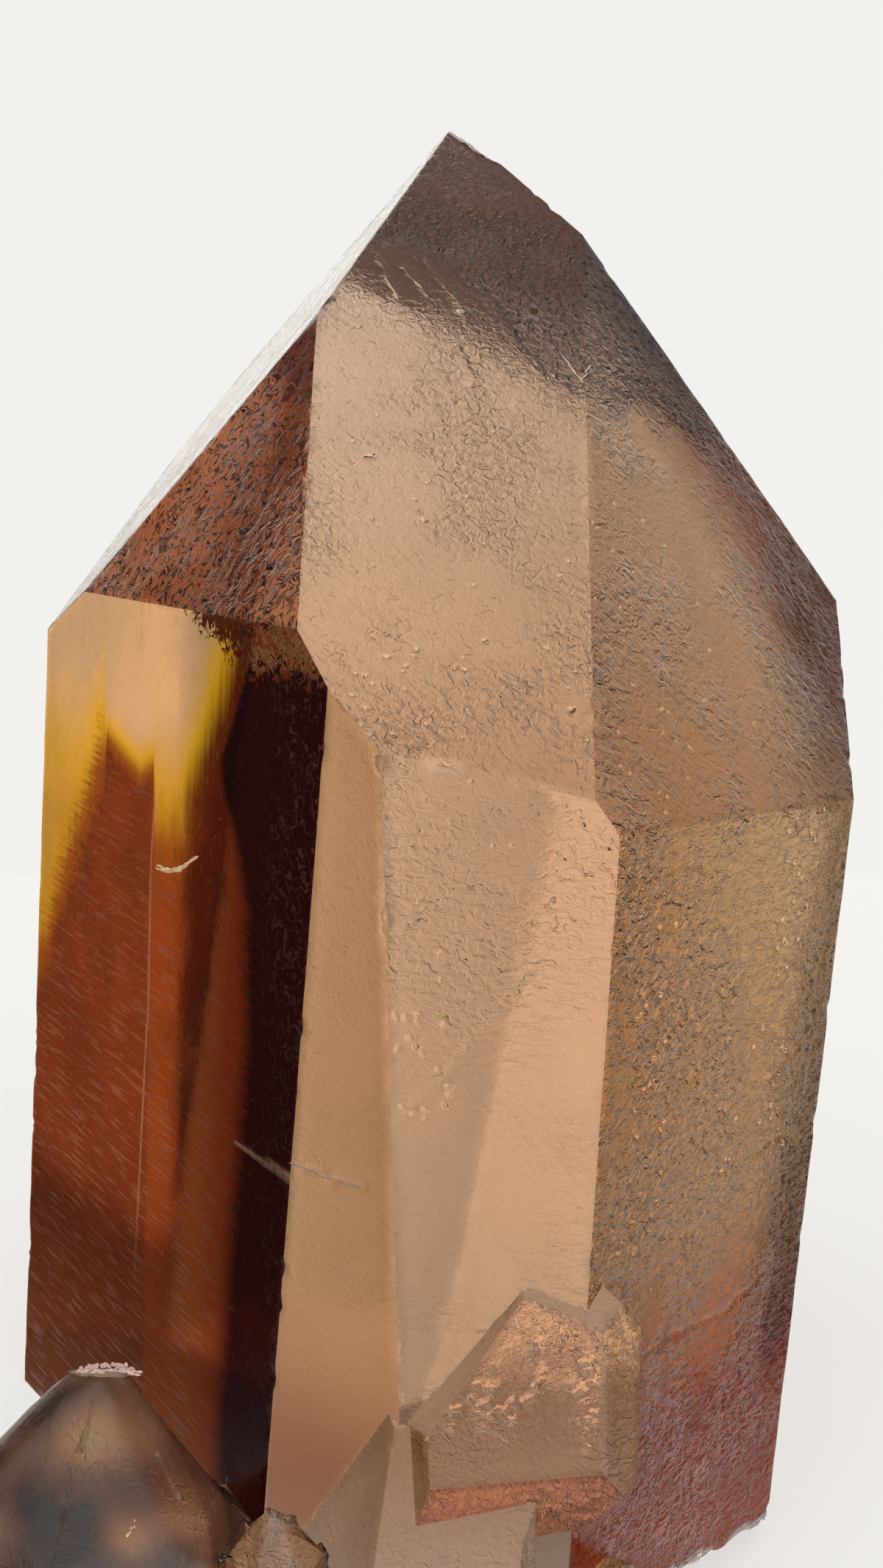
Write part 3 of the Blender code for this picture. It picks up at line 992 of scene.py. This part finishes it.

# Bruises and splinters, and dark flecks of painted shade in the tip's pits: face or None, points in
# mm (across and up the face, or in the part's frame), how many, their length, width and thickness,
# their colour
flecks = {
    "rows": (
        # the curved fibre and the splinter
        ("frontLeft", ((-9.1, 0.3), (-7.6, 0.5), (-6.2, 0.95), (-4.3, 1.9)),
         20, (1.2, 0.20, 0.07), (0.75, 0.48, 0.28)),
        # the worn top of the smoky crystal and the chip below it
        (None, ((-15.5, -20.75, 18.25), (-14.1, -19.95, 17.9), (-12.6, -19.3, 17.5)),
         54, (0.34, 0.16, 0.12), (0.66, 0.48, 0.43)),
        (None, ((-11.7, -27.2, 14.0), (-12.2, -27.9, 13.3), (-12.9, -28.7, 12.5)),
         12, (0.24, 0.14, 0.10), (0.55, 0.48, 0.45)),
        (None, ((-15.4, -20.3, 18.2), (-14.2, -19.5, 17.9), (-13.0, -18.9, 17.6)),
         40, (0.3, 0.3, 0.10), (0.56, 0.38, 0.34)),
        # splinters of the tip, and dark flecks of painted shade in its pits
        ("frontTip", ((5.7, 22.9), (6.6, 20.9)), 5, (0.9, 0.12, 0.06), (0.50, 0.42, 0.38)),
        ("frontRightTip", ((7.4, 21.2), (9.3, 22.1)), 4, (0.9, 0.12, 0.06), (0.50, 0.42, 0.38)),
        ("frontTip", ((-5.6, 13.35), (-4.85, 13.65)), 3, (0.34, 0.12, 0.06), (0.05, 0.025, 0.015)),
        ("frontTip", ((-0.15, 0.7), (0.25, 0.9)), 2, (0.28, 0.14, 0.06), (0.08, 0.04, 0.02)),
        ("frontTip", ((3.75, -3.6), (4.1, -3.2)), 2, (0.3, 0.14, 0.06), (0.08, 0.04, 0.02)),
        ("leftStep", ((4.6, -10.6), (7.2, -10.5), (9.8, -10.2)),
         9, (0.9, 0.12, 0.06), (0.30, 0.20, 0.19)),
    ),
    "outward": (0.0, -0.77, 0.64),      # how the smoky crystal's front looks
    "scatter": 0.6,                     # off the line, in widths
    "shades": (0.7, 1.0),
    "sizes": (0.6, 1.2),
    "lumps": (0.85, 1.1),
    "roughness": 0.45,
}


def makeFlecks():
    mesh = bmesh.new()
    draw = random.Random(7)
    paint = mesh.verts.layers.float_color.new("paint")
    scatter = flecks["scatter"]
    for name, path, count, (length, width, thickness), colour in flecks["rows"]:
        points, outward = [Vector(point) for point in path], Vector(flecks["outward"])
        for facet in facets:
            if facet["name"] == name:
                outward = Vector(facet["normal"])
                across, upward = facet["across"], facet["upward"]
                points = [Vector(facet["origin"] + across * u + upward * v) for u, v in path]
        for index in range(count):
            share = (index + draw.uniform(0.2, 0.8)) / count * (len(points) - 1)
            part = min(int(share), len(points) - 2)
            along = (points[part + 1] - points[part]).normalized()
            sideways = outward.cross(along).normalized()
            spot = points[part].lerp(points[part + 1], share - part)
            spot += sideways * draw.uniform(-scatter, scatter) * width
            shade = draw.uniform(*flecks["shades"])
            size = draw.uniform(*flecks["sizes"])
            shape = Matrix((
                along * length * size, sideways * width * size, along.cross(sideways) * thickness))
            shape.transpose()
            made = bmesh.ops.create_icosphere(mesh, subdivisions=1, radius=0.5)
            for vertex in made["verts"]:
                vertex.co = (shape @ vertex.co * draw.uniform(*flecks["lumps"]) + spot) * mm
                vertex[paint] = [shade * value for value in colour] + [1.0]
    data = bpy.data.meshes.new("flecks")
    mesh.to_mesh(data)
    mesh.free()
    material = bpy.data.materials.new("bruisesAndPitShade")
    tree = Tree(material)
    shader = tree.node("ShaderNodeBsdfPrincipled", None, {
        "Base Color": tree.node("ShaderNodeAttribute", {"attribute_name": "paint"}),
        "Roughness": flecks["roughness"]})
    tree.node("ShaderNodeOutputMaterial", None, {"Surface": shader})
    data.materials.append(material)
    piece = bpy.data.objects.new("flecks", data)
    bpy.context.scene.collection.objects.link(piece)
    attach(piece, "root")


makeFlecks()
print("flecks made")

# the studio
studio = {
    # soft light every 45 degrees from straight behind the crystal, turning right: from a little
    # below the horizon and from level
    "low": (1.86, 0.16, 0.02, 1.90, 0.95, 1.05, 0.03, 0.01),
    "level": (2.20, 0.10, 0.05, 2.70, 0.90, 0.55, 0.02, 0.04),
    # from the back and from the front
    "above": (0.10, 2.10),
    "below": (1.30, 0.25),
    "heights": (-0.8, -0.45, 0.1, 0.6),     # sines at which below, low, level and above hold
    "brightest": 3.0,
    "tint": (1.0, 0.981, 0.945),
    "seen": 0.896,
    "floorColour": 0.30,
    "floorGlow": 0.60,
    "floorGap": 0.00002,
    "floorRadius": 0.16,
}


def makeStudio():
    scene = bpy.context.scene
    world = bpy.data.worlds.new("softStudio")
    scene.world = world
    tree = Tree(world)
    direction = tree.node("ShaderNodeTexCoord").out("Generated")
    split = tree.node("ShaderNodeSeparateXYZ", None, {0: direction})
    x, y, z = split.out("X"), split.out("Y"), split.out("Z")
    turn = x.math("ARCTAN2", x, y) / tau
    turn = x.math("FRACT", turn + 1.0)

    def ring(values):
        closed = values + values[:1]
        stops = [(index / 8, value / studio["brightest"]) for index, value in enumerate(closed)]
        return tree.node("ShaderNodeValToRGB", {"stops": stops}, {0: turn}) * studio["brightest"]

    def backAndFront(values):
        return y.fall(-0.6, 0.6, values[1], values[0], "LINEAR")

    below, low, level, above = studio["heights"]
    light = backAndFront(studio["below"])
    light = light + (ring(studio["low"]) - light) * z.fall(below, low, kind="LINEAR")
    light = light + (ring(studio["level"]) - light) * z.fall(low, level, kind="LINEAR")
    light = light + (backAndFront(studio["above"]) - light) * z.fall(level, above, kind="LINEAR")
    soft = tree.node("ShaderNodeBackground", None, {"Color": studio["tint"], "Strength": light})
    plain = tree.node("ShaderNodeBackground", None, {
        "Color": studio["tint"], "Strength": studio["seen"]})
    seen = tree.node("ShaderNodeLightPath").out("Is Camera Ray")
    mixed = tree.node("ShaderNodeMixShader", None, {0: seen, 1: soft, 2: plain})
    tree.node("ShaderNodeOutputWorld", None, {"Surface": mixed})
    scene.view_settings.view_transform = "Standard"


def makeFloor():
    bpy.ops.mesh.primitive_circle_add(vertices=96, radius=studio["floorRadius"], fill_type="NGON")
    floor = bpy.context.object
    floor.name = "floor"
    floor.location.z = -studio["floorGap"]
    material = bpy.data.materials.new("paleFloor")
    tree = Tree(material)
    value = studio["floorColour"]
    shader = tree.node("ShaderNodeBsdfPrincipled", None, {
        "Base Color": (value, value, value),
        "Roughness": 1.0,
        "Specular IOR Level": 0.0,
        "Emission Color": studio["tint"],
        "Emission Strength": studio["floorGlow"],
    })
    tree.node("ShaderNodeOutputMaterial", None, {"Surface": shader})
    floor.data.materials.append(material)
    floor.visible_glossy = False            # the crystal shows the soft light below it instead
    floor.visible_transmission = False


makeStudio()
makeFloor()
print("studio and floor made")

# the camera
view = {
    "from": (4.22, -121.79, 69.66),
    "at": (2.35, -4.41, 44.78),
    "lens": 50.66,
}


def makeCamera():
    data = bpy.data.cameras.new("camera")
    data.sensor_width = 36.0
    data.lens = view["lens"]
    data.clip_start = 0.005
    camera = bpy.data.objects.new("camera", data)
    camera.location = Vector(view["from"]) * mm
    direction = Vector(view["at"]) - Vector(view["from"])
    camera.rotation_euler = direction.to_track_quat("-Z", "Y").to_euler()
    bpy.context.scene.collection.objects.link(camera)
    bpy.context.scene.camera = camera


makeCamera()
print("camera placed")
